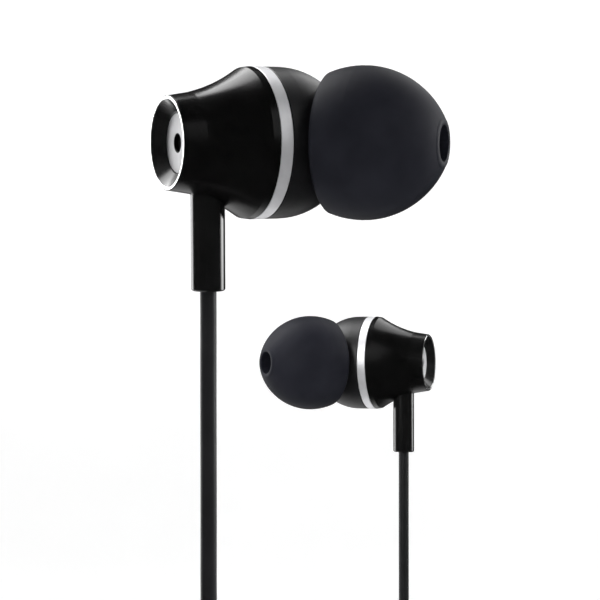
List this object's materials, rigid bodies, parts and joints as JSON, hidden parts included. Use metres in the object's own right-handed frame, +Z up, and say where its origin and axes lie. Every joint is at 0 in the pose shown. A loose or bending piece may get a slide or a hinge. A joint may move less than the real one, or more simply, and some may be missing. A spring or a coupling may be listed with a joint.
{
  "type": "wired earphones",
  "caption": "In-ear earphones with round silicone tips on angled nozzles, flared housings, stems, thin cords that join at a splitter, a tied hank of spare cord and a straight jack plug.",
  "frame": {"origin": "middle of the widest section of the right ear tip, where the ear holds the set", "axes": "+Z up; +Y from the right bud to the left bud; +X across, the way the right tip points; the cords hang along -Z"},
  "size_m": [0.0308, 0.0954, 0.1855],
  "materials": {
    "rear_shell": "gloss black anodised, fine satin texture",
    "bezel": "gloss black cone with a bright cut edge",
    "vent_disc": "light satin, spun",
    "felt": "acoustic felt",
    "trim_ring": "satin silver",
    "front_shell": "satin black",
    "screen": "woven screen",
    "silicone": "matte silicone, very dark blue-black",
    "steel": "plated",
    "magnet": "nickel plated",
    "basket": "moulded",
    "coil": "copper wire",
    "film": "thin polymer film",
    "board": "solder mask",
    "wire": "enamelled",
    "stem": "gloss black",
    "ferrule": "crimped brass",
    "cord_jacket": "matte black jacket",
    "strap": "woven hook-and-loop strap",
    "moulding": "matte moulding",
    "plug_shell": "gloss black",
    "gold": "gold plated",
    "insulator": "black insulator"
  },
  "bodies": {
    "earphones": {"right_rear_housing": "rear_shell", "right_rear_bezel": "bezel", "right_vent_disc": "vent_disc", "right_vent_felt": "felt", "right_trim_ring": "trim_ring", "right_front_housing": "front_shell", "right_nozzle_screen": "screen", "right_driver_yoke": "steel", "right_driver_magnet": "magnet", "right_driver_pole": "steel", "right_driver_basket": "basket", "right_surround": "film", "right_driver_cover": "steel", "right_terminal_board": "board", "right_lead_wires": "wire", "right_stem": "stem", "right_cord_bush": "cord_jacket", "right_cord_ferrule": "ferrule", "right_branch_cord": "cord_jacket", "right_branch_hank": "cord_jacket", "right_branch_tail": "cord_jacket", "left_rear_housing": "rear_shell", "left_rear_bezel": "bezel", "left_vent_disc": "vent_disc", "left_vent_felt": "felt", "left_trim_ring": "trim_ring", "left_front_housing": "front_shell", "left_nozzle_screen": "screen", "left_driver_yoke": "steel", "left_driver_magnet": "magnet", "left_driver_pole": "steel", "left_driver_basket": "basket", "left_surround": "film", "left_driver_cover": "steel", "left_terminal_board": "board", "left_lead_wires": "wire", "left_stem": "stem", "left_cord_bush": "cord_jacket", "left_cord_ferrule": "ferrule", "left_branch_cord": "cord_jacket", "left_branch_hank": "cord_jacket", "left_branch_tail": "cord_jacket", "hank_tie": "strap", "cord_splitter": "moulding", "trunk_cord_lead": "cord_jacket", "trunk_hank": "cord_jacket", "trunk_cord_tail": "cord_jacket", "plug_boot": "moulding", "plug_shell": "plug_shell", "jack_sleeve": "gold", "jack_ring": "gold", "jack_tip": "gold", "jack_insulator_rear": "insulator", "jack_insulator_front": "insulator"},
    "right_tip": {"right_ear_tip": "silicone"},
    "left_tip": {"left_ear_tip": "silicone"},
    "right_coil": {"right_voice_coil": "coil"},
    "left_coil": {"left_voice_coil": "coil"}
  },
  "joints": [
    {"name": "right_tip_pull", "type": "slide", "parent": "earphones", "child": "right_tip", "axis": [0.9385, -0.3434, -0.0361], "range_m": [0, 0.006]},
    {"name": "left_tip_pull", "type": "slide", "parent": "earphones", "child": "left_tip", "axis": [-0.8809, -0.473, 0.0182], "range_m": [0, 0.006]},
    {"name": "right_coil_stroke", "type": "slide", "parent": "earphones", "child": "right_coil", "axis": [0.8942, 0.4453, 0.0468], "range_m": [-0.00015, 0.00015], "stiffness_N_per_m": 70},
    {"name": "left_coil_stroke", "type": "slide", "parent": "earphones", "child": "left_coil", "axis": [-0.948, 0.3179, -0.0122], "range_m": [-0.00015, 0.00015], "stiffness_N_per_m": 70}
  ]
}
